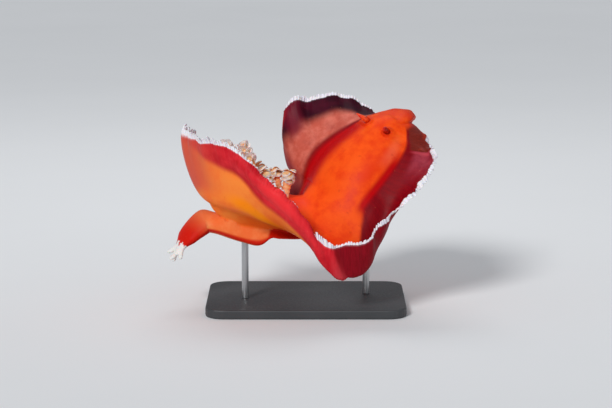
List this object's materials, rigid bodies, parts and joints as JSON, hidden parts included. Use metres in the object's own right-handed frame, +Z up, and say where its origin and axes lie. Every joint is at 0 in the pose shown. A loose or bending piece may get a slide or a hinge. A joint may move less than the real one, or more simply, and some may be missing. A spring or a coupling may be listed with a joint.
{
  "type": "spanish dancer nudibranch model",
  "caption": "Swimming sea slug with a wide frilled mantle curled up round its back, a gill tuft and horned head, held over a flat base by thin rods.",
  "frame": {"origin": "centre of the underside of the stand's base", "axes": "+Z up, +X toward the animal's raised head, -Y toward the side seen in the picture, which is the animal's right"},
  "size_m": [0.2004, 0.1382, 0.1565],
  "materials": {
    "back": "wet skin, orange to red",
    "skirt": "wet thin skin, orange to red",
    "border": "wet thin skin, crimson to maroon with a white frilled rim",
    "foot": "wet skin, pale orange with a red edge and white lobes at the tail",
    "gill": "wet, peach with white edges",
    "rhinophore": "wet, orange-red",
    "oral": "wet, orange-red",
    "stand": "satin dark grey",
    "rod": "satin steel"
  },
  "bodies": {
    "root": {"back_rear": "back", "back_middle": "back", "back_front": "back", "head": "back", "skirt_tail_tip": "skirt", "skirt_tail_right": "skirt", "skirt_side_right": "skirt", "skirt_fold_right": "skirt", "skirt_front_right": "skirt", "skirt_front": "skirt", "skirt_petal_left": "skirt", "skirt_turn_left": "skirt", "skirt_side_left": "skirt", "border_tail_left": "border", "border_tail_tip": "border", "border_tail_right": "border", "border_side_right": "border", "border_fold_rear": "border", "border_fold_front": "border", "border_front_right": "border", "border_front_corner": "border", "border_front_left": "border", "border_petal_front": "border", "border_petal_rear": "border", "border_turn_top": "border", "border_turn_low": "border", "border_side_left_front": "border", "border_side_left_rear": "border", "foot_front": "foot", "foot_middle": "foot", "foot_rear": "foot", "foot_tail": "foot", "gill_1": "gill", "gill_2": "gill", "gill_3": "gill", "gill_4": "gill", "gill_5": "gill", "gill_6": "gill", "anal_papilla": "gill", "rhinophore_left": "rhinophore", "rhinophore_right": "rhinophore", "rhinophore_sheath_left": "back", "rhinophore_sheath_right": "back", "oral_tentacle_left": "oral", "oral_tentacle_right": "oral", "mouth": "oral", "stand_base": "stand", "stand_rod_rear": "rod", "stand_rod_front": "rod"}
  },
  "joints": []
}
